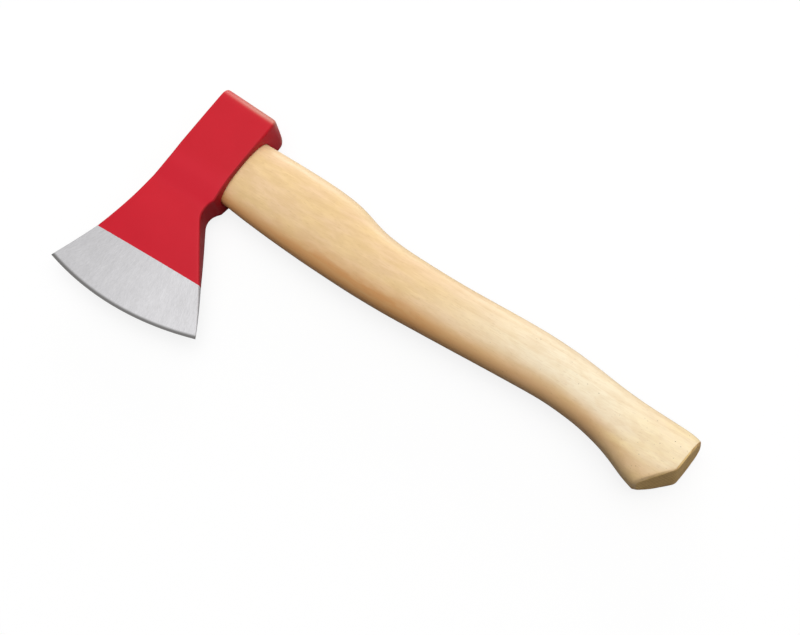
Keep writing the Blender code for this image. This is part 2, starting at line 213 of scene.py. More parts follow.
HEART_OF_TREE = Vector((0.0, 0.050, -0.085))  # the rings go round this, far below the piece
RING_DRIFT = (0.12, 1.0, 1.0)     # the rings wander slowly along the grain
RING_WAVES = 38.0                 # to the metre, across the grain
RING_WAVE_GAIN = 8.0
LATE_WOOD_RISE = 2.5              # a ring darkens slowly, by this power
LATE_WOOD_END = (0.9, 1.0)        # and ends sharply, in this part of it
FIBRE_DRAW = (0.08, 1.0, 1.0)
FIBRES = 1700.0                   # to the metre, across the grain
FLECK_CELLS = 0.5                 # to the width of a fleck
FLECK_RIM = (0.12, 0.38)          # of a cell
FLECK_CHANCE = (0.55, 0.95)
FLECK_DEPTH = 0.7                 # against the height of the fibres


def build_wood_grain():
    """Growth rings, fibres and short dark flecks, along X."""
    group, given, results = new_group(
        "wood grain",
        {
            "Vector": ('Vector', None),
            "Ring Spacing": ('Float', 0.0024),
            "Ring Waviness": ('Float', 0.0012),
            "Fleck Length": ('Float', 0.0022),
            "Fleck Width": ('Float', 0.00026),
        },
        {"Rings": 'Float', "Fibres": 'Float', "Flecks": 'Float', "Height": 'Float'},
    )
    vector = given["Vector"]
    # Rings: the distance from the heart of the tree, which runs along X
    wave = noise(group, stretched(group, vector, RING_DRIFT), RING_WAVES, detail=3.0)
    wave = calculated(group, 'SUBTRACT', wave, 0.5)
    wave = product(group, wave, given["Ring Waviness"])
    from_heart = length_of(group, seen_from(group, vector, HEART_OF_TREE, 0))
    rings = calculated(group, 'MULTIPLY_ADD', wave, RING_WAVE_GAIN, from_heart)
    rings = calculated(group, 'FRACT', calculated(group, 'DIVIDE', rings, given["Ring Spacing"]))
    late = calculated(group, 'POWER', rings, LATE_WOOD_RISE)
    late = product(group, late, stepped(group, rings, *LATE_WOOD_END, 1.0, 0.0))
    # Fibres: fine noise drawn out along the grain
    fibres = noise(group, stretched(group, vector, FIBRE_DRAW), FIBRES, detail=3.0, roughness=0.6)
    # Flecks: the cut ends of the rays and pores, short and dark
    share = calculated(group, 'DIVIDE', given["Fleck Width"], given["Fleck Length"])
    squeezed = place_node(group, "CombineXYZ", {0: share, 1: 1.0, 2: 1.0}).outputs[0]
    cells = place_node(
        group, "TexVoronoi",
        {
            "Vector": stretched(group, vector, squeezed),
            "Scale": calculated(group, 'DIVIDE', FLECK_CELLS, given["Fleck Width"]),
            "Randomness": 1.0,
        },
    ).outputs
    chance = place_node(group, "SeparateColor", {0: cells["Color"]}).outputs[0]
    flecks = stepped(group, cells["Distance"], *FLECK_RIM, 1.0, 0.0)
    flecks = product(group, flecks, stepped(group, chance, *FLECK_CHANCE))
    height = calculated(group, 'MULTIPLY_ADD', flecks, -FLECK_DEPTH, fibres)
    fill_inputs(group, results, {"Rings": late, "Fibres": fibres, "Flecks": flecks, "Height": height})
    return group


WOOD_GRAIN = build_wood_grain()


NOISE_RANGE = (0.3, 0.7)          # most of any noise lies in here


def build_mottle():
    """Soft uneven patches, for tone and gloss that vary over a surface."""
    group, given, results = new_group(
        "mottle",
        {
            "Vector": ('Vector', None),
            "Stretch": ('Vector', (1.0, 1.0, 1.0)),
            "Patch Size": ('Float', 0.01),
            "Low": ('Float', 0.0),
            "High": ('Float', 1.0),
        },
        {"Value": 'Float'},
    )
    scale = calculated(group, 'DIVIDE', 1.0, given["Patch Size"])
    place = stretched(group, given["Vector"], given["Stretch"])
    cloud = noise(group, place, scale, detail=3.0, roughness=0.55)
    patches = stepped(group, cloud, *NOISE_RANGE, given["Low"], given["High"])
    fill_inputs(group, results, {"Value": patches})
    return group


MOTTLE = build_mottle()


def mottled(tree, vector, patch, low=0.0, high=1.0, along_grain=1.0):
    """A value that varies in patches, which the grain draws out where along_grain is under 1."""
    stretch = (along_grain, 1.0, 1.0)
    inputs = {"Vector": vector, "Stretch": stretch, "Patch Size": patch, "Low": low, "High": high}
    return placed_group(tree, MOTTLE, inputs)["Value"]


HANDLE_PALE = (0.97, 0.89, 0.69, 1.0)
HANDLE_HONEY = (0.88, 0.63, 0.32, 1.0)
HANDLE_GOLDEN = (1.0, 0.77, 0.36, 1.0)
HANDLE_ROSY = (0.86, 0.60, 0.38, 1.0)
# also the painted shade on the belly
HANDLE_HEARTWOOD_AND_SHADE = (0.68, 0.345, 0.132, 1.0)
HANDLE_LATE_WOOD = (0.70, 0.47, 0.22, 1.0)
HANDLE_FLECK = (0.46, 0.28, 0.13, 1.0)
HANDLE_END_GRAIN = (1.0, 0.72, 0.31, 1.0)
# also the painted shade on the sawn ends
HANDLE_END_RING_AND_SHADE = (0.46, 0.25, 0.12, 1.0)
HANDLE_PORE = (0.24, 0.13, 0.05, 1.0)

# Where each tone starts and is full. Along the handle:
HANDLE_LOW, HANDLE_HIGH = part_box("handle")
AT_BUTT = (HANDLE_HIGH.x - 0.062, HANDLE_HIGH.x - 0.018)
PALER = (HANDLE_LOW.x + 0.155, HANDLE_LOW.x + 0.285)
STAIN_SETS_IN = (HANDLE_LOW.x + 0.080, HANDLE_LOW.x + 0.125)
STAIN_FADES = (HANDLE_LOW.x + 0.165, HANDLE_LOW.x + 0.215)
# Across it, from belly to back:
HEARTWOOD_BORDER = (HANDLE_LOW.y + 0.012, HANDLE_LOW.y + 0.036)
BORDER_WANDER = 0.022
# Up its thickness, on the sawn ends, which painted shade darkens at the bottom:
SHADED_BELOW = (HANDLE_LOW.z + 0.001, HANDLE_LOW.z + 0.015)
# By how far the surface faces the back (1) or the belly (-1):
TURNS_TO_BELLY = (-0.50, 0.02)
TURNS_TO_BACK = (0.30, 0.90)
# painted light: the back, which faces the light, is made paler
LIT_BACK = (0.20, 0.75)
# painted shade: the belly, turned away from the light, is made browner
SHADED_BELLY = (-0.72, -0.22)
STAINED_BELLY = (-0.42, -0.10)
# painted shade: the sawn butt darkens where it turns to the back
SHADED_BUTT_RIM = (0.02, 0.50)
# And by how far it faces along the grain:
SAWN_END = (0.50, 0.66)

# The noises, to the metre, and the part of each noise that is the rim of a patch
BLOTCHES = 130.0
BLOTCH_DRAW = (0.4, 1.0, 1.0)
BLOTCH_RIM = (0.38, 0.56)
STREAK_RIM = (0.46, 0.72)
PORES = 2600.0
PORE_RIM = (0.55, 0.70)

# How much of each tone shows where it is full
ROSY_SHARE = 0.72
TAWNY_SHARE = 0.46
HONEY_SHARE = 0.26
PALE_NECK_SHARE = 0.03
PALE_BUTT_SHARE = 0.76
# painted light on the back
BACK_LIGHT_SHARE = 0.20
HEARTWOOD_SHARE = 0.66
# painted shade on the belly
BELLY_SHADE_SHARE = 0.95
STAIN_SHARE = 0.45
RING_SHARE = 0.24
STREAK_SHARE = 0.34
FLECK_SHARE = 0.24
PORE_SHARE = 0.35
WORN_SHARE = 0.22
# painted shade on the sawn ends
LOW_SHADE_SHARE = 0.18
BUTT_RIM_SHADE_SHARE = 0.70
SPECKS_AT_BUTT = 0.45
SPECK_SHARPNESS = 5.0         # the power that leaves only the middle of a fleck
LEAST_STAIN = 0.25            # between the blotches

# How much of a tone is lost where another takes over
# painted shade: the pale is lost where the surface turns to the belly
PALE_LOST_TO_BELLY_SHADE = 0.80
PALE_LOST_TO_BACK = 0.42
PALE_LOST_AT_BUTT = 0.30
HEARTWOOD_LOST_AT_BUTT = 0.70
# the painted shade on the belly is weaker on the pale wood and at the butt
BELLY_SHADE_LOST_TO_PALE = 0.50
BELLY_SHADE_LOST_AT_BUTT = 0.95
STREAKS_LOST_TO_PALE = 0.50

VARNISH = 0.12                # on the sides
VARNISH_ON_SAWN = 0.01
SAWN_ROUGHER = 0.25
GRAIN_RELIEF = (0.25, 0.00012)    # strength and depth


def plank_tone(tree, at, at_butt):
    """Honey wood that turns golden at the butt, with rosy and tawny patches."""
    tone = blended(tree, at_butt, HANDLE_HONEY, HANDLE_GOLDEN)
    rosy = mottled(tree, at, patch=0.009, high=ROSY_SHARE, along_grain=0.35)
    tawny = mottled(tree, at, patch=0.0034, high=TAWNY_SHARE, along_grain=0.25)
    tone = blended(tree, rosy, tone, HANDLE_ROSY)
    return blended(tree, tawny, tone, HANDLE_LATE_WOOD)


def with_sapwood(tree, tone, at, facing_back, paler, at_butt):
    """Pale sapwood from grip to butt on each side; painted shade towards the belly, painted light on the
    back.
    """
    # Painted shade: the pale is lost where the surface turns to the belly.
    to_belly_shade = stepped(tree, facing_back, *TURNS_TO_BELLY, PALE_LOST_TO_BELLY_SHADE, 0.0)
    to_back = stepped(tree, facing_back, *TURNS_TO_BACK, 0.0, PALE_LOST_TO_BACK)
    on_sides = calculated(tree, 'SUBTRACT', 1.0, calculated(tree, 'MAXIMUM', to_belly_shade, to_back))
    on_sides = lessened(tree, on_sides, PALE_LOST_AT_BUTT, at_butt)
    # Painted light: a little paler where the surface faces the back, towards the light.
    back_light = stepped(tree, facing_back, *LIT_BACK, 0.0, BACK_LIGHT_SHARE)
    pale = calculated(tree, 'MAXIMUM', product(tree, paler, on_sides), back_light)
    tone = blended(tree, pale, tone, HANDLE_PALE)
    honey = mottled(tree, at, patch=0.0055, low=-0.20, high=HONEY_SHARE, along_grain=0.55)
    return blended(tree, product(tree, honey, paler), tone, HANDLE_LATE_WOOD)


def heartwood_and_belly_shade(tree, at, facing_back, paler, at_butt):
    """Brown nearer the heart of the tree, towards the belly, with an uneven border, and painted shade on
    the belly.
    """
    along = part_of(tree, at, "X")
    blotches = noise(tree, stretched(tree, at, BLOTCH_DRAW), BLOTCHES, detail=3.0, roughness=0.6)
    across = calculated(tree, 'MULTIPLY_ADD', blotches, BORDER_WANDER, part_of(tree, at, "Y"))
    brown_share = stepped(tree, across, *HEARTWOOD_BORDER, HEARTWOOD_SHARE, 0.0)
    brown_share = lessened(tree, brown_share, HEARTWOOD_LOST_AT_BUTT, at_butt)
    # Painted shade: browner where the surface turns to the belly, away from the light.
    belly = stepped(tree, facing_back, *SHADED_BELLY, BELLY_SHADE_SHARE, 0.0)
    belly = lessened(tree, belly, BELLY_SHADE_LOST_TO_PALE, paler)
    belly = lessened(tree, belly, BELLY_SHADE_LOST_AT_BUTT, at_butt)
    # A darker honey stain lies on the belly where the neck runs into the grip
    stain = product(
        tree,
        stepped(tree, along, *STAIN_SETS_IN),
        stepped(tree, along, *STAIN_FADES, 1.0, 0.0),
        stepped(tree, facing_back, *STAINED_BELLY, STAIN_SHARE, 0.0),
        stepped(tree, blotches, *BLOTCH_RIM, LEAST_STAIN, 1.0),
    )
    heartwood_and_shade = calculated(tree, 'ADD', calculated(tree, 'MAXIMUM', brown_share, belly), stain)
    return calculated(tree, 'MINIMUM', heartwood_and_shade, 1.0)


def with_grain(tree, tone, grain, paler):
    """Rings, streaks and flecks over a tone, the streaks weaker on the pale wood."""
    tone = blended(tree, product(tree, grain["Rings"], RING_SHARE), tone, HANDLE_LATE_WOOD)
    streaks = stepped(tree, grain["Fibres"], *STREAK_RIM, 0.0, STREAK_SHARE)
    streaks = lessened(tree, streaks, STREAKS_LOST_TO_PALE, paler)
    tone = blended(tree, streaks, tone, HANDLE_LATE_WOOD)
    return blended(tree, product(tree, grain["Flecks"], FLECK_SHARE), tone, HANDLE_FLECK)


def with_specks(tree, tone, at, paler, at_butt):
    """A few dark pores in patches, most of them at the butt."""
    large_flecks = {"Vector": at, "Fleck Length": 0.0010, "Fleck Width": 0.0006}
    flecks = placed_group(tree, WOOD_GRAIN, large_flecks)["Flecks"]
    specks = calculated(tree, 'POWER', flecks, SPECK_SHARPNESS)
    patches = product(tree, mottled(tree, at, patch=0.012, low=-0.6, high=0.8), paler)
    patches = calculated(tree, 'MULTIPLY_ADD', at_butt, SPECKS_AT_BUTT, patches)
    specks = product(tree, specks, calculated(tree, 'MAXIMUM', patches, 0.0))
    return blended(tree, specks, tone, HANDLE_PORE)


def sawn_end_tone(tree, at, facing_back, rings):
    """Sawn ends, grain end on, which drink the varnish and go dark, with painted shade at the bottom and
    back rim.
    """
    tone = blended(tree, rings, HANDLE_END_GRAIN, HANDLE_END_RING_AND_SHADE)
    pores = stepped(tree, noise(tree, at, PORES, roughness=0.6), *PORE_RIM, 0.0, PORE_SHARE)
    tone = blended(tree, pores, tone, HANDLE_PORE)
    tone = blended(tree, mottled(tree, at, patch=0.007, high=WORN_SHARE), tone, HANDLE_END_RING_AND_SHADE)
    # Painted shade: darker towards the bottom, and where the end turns to face the back.
    low_shade = stepped(tree, part_of(tree, at, "Z"), *SHADED_BELOW, LOW_SHADE_SHARE, 0.0)
    butt_rim_shade = stepped(tree, facing_back, *SHADED_BUTT_RIM, 0.0, BUTT_RIM_SHADE_SHARE)
    end_shade = calculated(tree, 'MAXIMUM', low_shade, butt_rim_shade)
    return blended(tree, end_shade, tone, HANDLE_END_RING_AND_SHADE)


def varnished_beech():
    """The handle's wood under a thin clear varnish, which the sawn ends soak up."""
    material, tree, shader, place = new_material("varnished beech")
    at = place["Object"]
    along = part_of(tree, at, "X")
    facing_back = part_of(tree, place["Normal"], "Y")
    grain = placed_group(tree, WOOD_GRAIN, {"Vector": at})
    at_butt = stepped(tree, along, *AT_BUTT)
    paler = stepped(tree, along, *PALER, PALE_NECK_SHARE, PALE_BUTT_SHARE)
    tone = plank_tone(tree, at, at_butt)
    tone = with_sapwood(tree, tone, at, facing_back, paler, at_butt)
    # The heartwood's brown, with painted shade on the belly.
    brown_share = heartwood_and_belly_shade(tree, at, facing_back, paler, at_butt)
    tone = blended(tree, brown_share, tone, HANDLE_HEARTWOOD_AND_SHADE)
    tone = with_grain(tree, tone, grain, paler)
    tone = with_specks(tree, tone, at, paler, at_butt)
    sawn = calculated(tree, 'ABSOLUTE', part_of(tree, place["Normal"], "X"))
    sawn = stepped(tree, sawn, *SAWN_END)
    tone = blended(tree, sawn, tone, sawn_end_tone(tree, at, facing_back, grain["Rings"]))
    gloss = mottled(tree, at, patch=0.02, low=0.36, high=0.48)
    gloss = calculated(tree, 'MULTIPLY_ADD', sawn, SAWN_ROUGHER, gloss)
    fill_inputs(tree, shader, {
        "Base Color": tone,
        "Roughness": gloss,
        "Coat Weight": stepped(tree, sawn, 0.0, 1.0, VARNISH, VARNISH_ON_SAWN),
        "Coat Roughness": 0.22,
        "Specular IOR Level": 0.13,
        "Normal": relief(tree, grain["Height"], *GRAIN_RELIEF),
    })
    return material


handle = finished_copy("beech_handle", "handle", levels=2)
handle.data.materials.append(varnished_beech())


# ---------------------------------------------------------------- head
# One drop forging of carbon steel with a hammer poll, an oval eye and a curved bit. It is sprayed
# with red enamel, and then the bit is ground bare from a straight line down and honed to an edge.

HEAD_LOW, HEAD_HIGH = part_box("axe_head")
BIT_LINE_TOE = Vector((HEAD_LOW.x + 0.0140, HEAD_LOW.y + 0.0352, 0.0))
BIT_LINE_HEEL = Vector((HEAD_HIGH.x - 0.0185, HEAD_LOW.y + 0.0382, 0.0))
BIT_LINE = BIT_LINE_HEEL - BIT_LINE_TOE
EDGE_TOE = Vector((HEAD_LOW.x, HEAD_LOW.y + 0.0052, 0.0))
EDGE_HEEL = Vector((HEAD_HIGH.x, HEAD_LOW.y + 0.0110, 0.0))
EDGE_BULGE = 0.0078           # how far the edge's arc stands beyond the line from toe to heel
HONED_WIDTH = 0.0021
HONED_BLUR = (-0.0007, 0.0011)
ON_THE_LINE = 0.00006         # a corner this near the bit line lies on it
IN_THE_BIT = 0.01             # beyond the bit line, where only the honed bevel's edges are left
HONED_ANGLE = radians(8)      # the bevel meets the bit at more than this


def past_bit_line(point):
    """How far a point lies from the bit line, towards the cutting edge."""
    along = BIT_LINE.normalized()
    return (point - BIT_LINE_TOE).dot(Vector((along.y, -along.x, 0.0)))


def is_ground_line(edge):
    """Edges along the bit line, and along the start of the honed bevel."""
    offsets = [past_bit_line(vert.co) for vert in edge.verts]
    if max(abs(offset) for offset in offsets) < ON_THE_LINE:
        return True
    way = edge.verts[1].co - edge.verts[0].co
    runs_along = abs(way.x) > 2 * abs(way.y)
    return min(offsets) > IN_THE_BIT and runs_along and edge.calc_face_angle(0.0) > HONED_ANGLE


def behind_edge(radius):
    """The point that lies a radius behind the middle of the cutting edge."""
    chord = EDGE_HEEL - EDGE_TOE
    towards_poll = Vector((-chord.y, chord.x, 0.0)).normalized()
    return (EDGE_TOE + EDGE_HEEL) / 2 + towards_poll * (radius - EDGE_BULGE)


CLOUD_DRAW = (1.0, 0.22, 1.0)
CLOUD_SIZE = 0.07             # cloud density, against that of the scratches
CLOUD_SHARE = 0.20            # of the tone


def build_ground_steel():
    """Fine scratches from a grinding belt, along the Y of the vector given."""
    group, given, results = new_group(
        "ground steel",
        {
            "Vector": ('Vector', None),
            "Scratch Width": ('Float', 0.00018),
            "Scratch Length": ('Float', 0.006),
        },
        {"Tone": 'Float', "Height": 'Float'},
    )
    share = calculated(group, 'DIVIDE', given["Scratch Width"], given["Scratch Length"])
    squeezed = place_node(group, "CombineXYZ", {0: 1.0, 1: share, 2: 1.0}).outputs[0]
    density = calculated(group, 'DIVIDE', 1.0, given["Scratch Width"])
    fine = noise(
        group, stretched(group, given["Vector"], squeezed), density, detail=3.0, roughness=0.65,
    )
    cloud_place = stretched(group, given["Vector"], CLOUD_DRAW)
    clouds = noise(group, cloud_place, product(group, density, CLOUD_SIZE))
    tone = calculated(group, 'MULTIPLY_ADD', fine, 1.0 - CLOUD_SHARE, product(group, clouds, CLOUD_SHARE))
    fill_inputs(group, results, {"Tone": tone, "Height": fine})
    return group


GROUND_STEEL = build_ground_steel()

PAINT_RED = (0.632, 0.0042, 0.020, 1.0)
# also the painted shade over the eye and the poll
PAINT_RED_DEEP = (0.576, 0.002, 0.015, 1.0)
# painted light on the shoulder
PAINT_RED_LIT = (0.666, 0.008, 0.026, 1.0)
# painted shade on the narrow sides of the head
PAINT_RED_SHADED = (0.280, 0.011, 0.012, 1.0)
# painted highlight on the rounded edge of the poll
PAINT_HIGHLIGHT_PINK = (0.550, 0.205, 0.145, 1.0)
BIT_STEEL = (0.620, 0.612, 0.626, 1.0)
BIT_STEEL_DARK = (0.500, 0.494, 0.503, 1.0)
# painted reflection: a dark colour that stands in for what the honed bevel mirrors
HONED_DARK_REFLECTION = (0.180, 0.175, 0.171, 1.0)
# painted light: the steel's colour is made brighter towards the heel
HEEL_LIGHT = 1.20             # the bit is this much brighter at the heel than at the toe
SCRATCH_FAN = 0.115           # the grinding marks fan out from this far behind the edge
PAINT_RAGGEDNESS = 0.0003     # of the bit line
RAGS = 900.0                  # to the metre
PAINT_EDGE = (-0.00008, 0.00008)
ORANGE_PEEL = 420.0           # to the metre
PEEL_HEIGHT = 0.30            # against the thickness of the paint
SCRATCH_DEPTH = 0.16
SCRATCH_RIM = (0.35, 0.65)    # of the noise that makes the scratches
STEEL_ROUGHNESS = (0.50, 0.38)
SURFACE_RELIEF = (0.5, 0.00008)   # strength and depth, of the film of paint

# Where the red changes, up the head from the edge to the poll:
# painted shade over the eye and the poll
SHADE_OVER_EYE = (HEAD_LOW.y + 0.084, HEAD_LOW.y + 0.106)
# painted light on the shoulder
SHOULDER_LIGHT_STARTS = (HEAD_LOW.y + 0.074, HEAD_LOW.y + 0.081)
SHOULDER_LIGHT_ENDS = (HEAD_LOW.y + 0.092, HEAD_LOW.y + 0.106)
# painted shade on the narrow sides, and round the eye by the handle
SIDE_SHADE_ENDS = (HEAD_LOW.y + 0.100, HEAD_LOW.y + 0.137)
EYE_RIM_SHADE_STARTS = (HEAD_LOW.y + 0.098, HEAD_LOW.y + 0.108)
EYE_RIM_SHADE_ENDS = (HEAD_LOW.y + 0.122, HEAD_LOW.y + 0.138)
# painted highlight on the rounded edge of the poll
HIGHLIGHT_NEAR_POLL = (HEAD_HIGH.y - 0.011, HEAD_HIGH.y - 0.004)
# From the top of the head to its underside:
HIGHLIGHT_ALONG = (HEAD_LOW.x + 0.026, HEAD_LOW.x + 0.050)
# From the middle of its thickness outwards:
HEAD_MIDDLE = (HEAD_LOW.z + HEAD_HIGH.z) / 2
HIGHLIGHT_OUTWARDS = (0.0025, 0.0095)
# And by how far the surface faces along the handle, or to the poll:
FACING_SIDE = (0.45, 0.80)
FACING_POLL = (-0.05, 0.60)

# How much of each tone shows where it is full
# painted shade over the eye
EYE_SHADE_SHARE = 0.7
DEEP_PATCH_SHARE = 0.3
# painted shade on the narrow sides
SIDE_SHADE_SHARE = 0.75
EYE_RIM_SHADE_SHARE = 0.5
MOST_SIDE_SHADE = 0.95
# painted highlight on the poll
HIGHLIGHT_TOP_SHARE = 0.35
HIGHLIGHT_MIDDLE_SHARE = 0.10
HIGHLIGHT_EDGE_SHARE = 0.85


def place_on_bit(tree, at):
    """Coordinates on the bit: X along the bit line, Y from it towards the poll."""
    turn = (0.0, 0.0, atan2(BIT_LINE.y, BIT_LINE.x))
    inputs = {"Vector": at, "Location": BIT_LINE_TOE, "Rotation": turn}
    return place_node(tree, "Mapping", inputs, vector_type='TEXTURE').outputs[0]


def place_on_fan(tree, at):
    """Coordinates of the grinding marks, which fan out like spokes: X round the fan, Y along a mark."""
    from_hub = seen_from(tree, at, behind_edge(SCRATCH_FAN), 2)
    down = product(tree, part_of(tree, from_hub, "Y"), -1.0)
    spoke = calculated(tree, 'ARCTAN2', part_of(tree, from_hub, "X"), down)
    inputs = {0: product(tree, spoke, SCRATCH_FAN), 1: length_of(tree, from_hub), 2: part_of(tree, at, "Z")}
    return place_node(tree, "CombineXYZ", inputs).outputs[0]


def honed_share(tree, at):
    """Where the honed bevel lies, within its width of the arc of the edge."""
    chord = (EDGE_HEEL - EDGE_TOE).length
    arc_radius = (chord**2 / 4 + EDGE_BULGE**2) / (2 * EDGE_BULGE)
    reach = length_of(tree, seen_from(tree, at, behind_edge(arc_radius), 2))
    start = arc_radius - HONED_WIDTH
    return stepped(tree, reach, *(start + blur for blur in HONED_BLUR))


def bit_tone(tree, at, on_bit, scratches):
    """Ground steel, with painted light towards the heel and a painted dark reflection on the honed bevel.
    """
    steel = blended(tree, stepped(tree, scratches["Tone"], *SCRATCH_RIM), BIT_STEEL_DARK, BIT_STEEL)
    # Painted light: brighter towards the heel, in random patches.
    heel_light_and_patches = stepped(tree, part_of(tree, on_bit, "X"), 0.0, BIT_LINE.length, 1.0, HEEL_LIGHT)
    heel_light_and_patches = product(tree, mottled(tree, on_bit, patch=0.02, low=0.96), heel_light_and_patches)
    heel_light_and_patches = place_node(tree, "CombineColor", {0: heel_light_and_patches, 1: heel_light_and_patches, 2: heel_light_and_patches}).outputs[0]
    steel = blended(tree, 1.0, steel, heel_light_and_patches, 'MULTIPLY')
    # Painted reflection: the honed bevel is darkened for the darker things it mirrors.
    return blended(tree, honed_share(tree, at), steel, HONED_DARK_REFLECTION)


def red_with_painted_light_and_shade(tree, at, facing_side):
    """Red enamel, deeper in patches, with painted shade and painted light that even out how it is lit."""
    up_head = part_of(tree, at, "Y")
    # Deeper in random patches, with painted shade over the eye and the poll and painted light on the
    # shoulder
    deep_patches_and_shade = mottled(tree, at, patch=0.018, high=DEEP_PATCH_SHARE)
    deep_patches_and_shade = calculated(tree, 'ADD', deep_patches_and_shade, stepped(tree, up_head, *SHADE_OVER_EYE, 0.0, EYE_SHADE_SHARE))
    red = blended(tree, deep_patches_and_shade, PAINT_RED, PAINT_RED_DEEP)
    shoulder_light = stepped(tree, up_head, *SHOULDER_LIGHT_STARTS)
    shoulder_light = product(tree, shoulder_light, stepped(tree, up_head, *SHOULDER_LIGHT_ENDS, 1.0, 0.0))
    red = blended(tree, shoulder_light, red, PAINT_RED_LIT)
    # Painted shade darkens the narrow sides of the blade, and more round the eye by the handle
    sideways = stepped(tree, calculated(tree, 'ABSOLUTE', facing_side), *FACING_SIDE)
    eye_rim_shade = stepped(tree, up_head, *EYE_RIM_SHADE_STARTS)
    eye_rim_shade = product(tree, eye_rim_shade, stepped(tree, up_head, *EYE_RIM_SHADE_ENDS, EYE_RIM_SHADE_SHARE, 0.0))
    # Painted shade, full low on the head and gone by the poll
    thin = stepped(tree, up_head, *SIDE_SHADE_ENDS, SIDE_SHADE_SHARE, 0.0)
    thin = calculated(tree, 'MINIMUM', calculated(tree, 'ADD', thin, eye_rim_shade), MOST_SIDE_SHADE)
    return blended(tree, product(tree, sideways, thin), red, PAINT_RED_SHADED)


def poll_highlight_share(tree, at, facing_poll):
    """Where a painted highlight lies on the rounded edge of the poll, strongest towards the underside and
    outer edges.
    """
    off_middle = calculated(tree, 'SUBTRACT', part_of(tree, at, "Z"), HEAD_MIDDLE)
    off_middle = calculated(tree, 'ABSOLUTE', off_middle)
    return product(
        tree,
        stepped(tree, facing_poll, *FACING_POLL),
        stepped(tree, part_of(tree, at, "Y"), *HIGHLIGHT_NEAR_POLL),
        stepped(tree, part_of(tree, at, "X"), *HIGHLIGHT_ALONG, HIGHLIGHT_TOP_SHARE, 1.0),
        stepped(tree, off_middle, *HIGHLIGHT_OUTWARDS, HIGHLIGHT_MIDDLE_SHARE, HIGHLIGHT_EDGE_SHARE),
        mottled(tree, at, patch=0.006, low=0.80),
    )


def painted_and_ground_steel():
    """Enamel above the bit line and bare steel below it, ground and honed."""
    material, tree, shader, place = new_material("red enamel and ground bit")
    at = place["Object"]
    on_bit = place_on_bit(tree, at)
    ragged = calculated(tree, 'SUBTRACT', noise(tree, at, RAGS), 0.5)
    beyond = calculated(tree, 'MULTIPLY_ADD', ragged, PAINT_RAGGEDNESS, part_of(tree, on_bit, "Y"))
    paint = stepped(tree, beyond, *PAINT_EDGE)
    bare = calculated(tree, 'SUBTRACT', 1.0, paint)

    scratches = placed_group(tree, GROUND_STEEL, {"Vector": place_on_fan(tree, at)})
    steel = bit_tone(tree, at, on_bit, scratches)
    red = red_with_painted_light_and_shade(tree, at, part_of(tree, place["Normal"], "X"))
    poll_highlight = poll_highlight_share(tree, at, part_of(tree, place["Normal"], "Y"))
    # Painted highlight: a pale pink on the rounded edge of the poll.
    red = blended(tree, poll_highlight, red, PAINT_HIGHLIGHT_PINK)

    paint_gloss = mottled(tree, at, patch=0.012, low=0.42, high=0.48)
    steel_gloss = stepped(tree, scratches["Tone"], *NOISE_RANGE, *STEEL_ROUGHNESS)
    # The film of paint stands above the steel, with a slight orange peel
    peel = product(tree, noise(tree, at, ORANGE_PEEL, roughness=0.4), PEEL_HEIGHT)
    film = calculated(tree, 'MULTIPLY_ADD', peel, paint, paint)
    scratched = product(tree, scratches["Height"], SCRATCH_DEPTH)
    height = calculated(tree, 'MULTIPLY_ADD', scratched, bare, film)
    fill_inputs(tree, shader, {
        "Base Color": blended(tree, paint, steel, red),
        "Metallic": bare,
        "Roughness": place_node(tree, "Mix", {0: paint, 2: steel_gloss, 3: paint_gloss}).outputs[0],
        "Specular IOR Level": 0.25,
        "Normal": relief(tree, height, *SURFACE_RELIEF),
    })
    return material


head = finished_copy("forged_head", "axe_head", levels=2, keeps_edge=is_ground_line)
head.data.materials.append(painted_and_ground_steel())


# ---------------------------------------------------------------- wood wedge
# A tapered slip of darker hardwood, driven into the saw kerf in the tongue to spread it in the
# eye, and sawn off level with it. Only its end shows, at the top of the head.

WEDGE_TONE = (0.36, 0.20, 0.08, 1.0)
WEDGE_LATE_WOOD = (0.22, 0.11, 0.04, 1.0)
WEDGE_FLECK = (0.12, 0.06, 0.03, 1.0)
WEDGE_FLECK_SHARE = 0.5
WEDGE_ROUGHNESS = (0.55, 0.75)
WEDGE_RELIEF = (0.4, 0.0001)      # strength and depth


def sawn_hardwood():
    """Dark wood of a close grain, straight from the saw."""
    material, tree, shader, place = new_material("sawn hardwood")
    close_grain = {"Vector": place["Object"], "Ring Spacing": 0.0013, "Fleck Length": 0.002}
    grain = placed_group(tree, WOOD_GRAIN, close_grain)
    tone = blended(tree, grain["Rings"], WEDGE_TONE, WEDGE_LATE_WOOD)
    flecks = product(tree, grain["Flecks"], WEDGE_FLECK_SHARE)
    fill_inputs(tree, shader, {
        "Base Color": blended(tree, flecks, tone, WEDGE_FLECK),
        "Roughness": stepped(tree, grain["Fibres"], *NOISE_RANGE, *WEDGE_ROUGHNESS),
        "Normal": relief(tree, grain["Height"], *WEDGE_RELIEF),
    })
    return material


wood_wedge = finished_copy("hardwood_wedge", "wood_wedge", levels=1)
wood_wedge.data.materials.append(sawn_hardwood())


# ---------------------------------------------------------------- ring wedge
# A short steel tube with a thinned lip, driven in across the tongue and the wood wedge so that
# neither works loose. It is turned from bar and left bare, with fine scratches.

RING_STEEL = (0.50, 0.49, 0.48, 1.0)
RING_STEEL_DARK = (0.33, 0.32, 0.31, 1.0)
RING_ROUGHNESS = (0.45, 0.32)
RING_RELIEF = (0.3, 0.00005)      # strength and depth


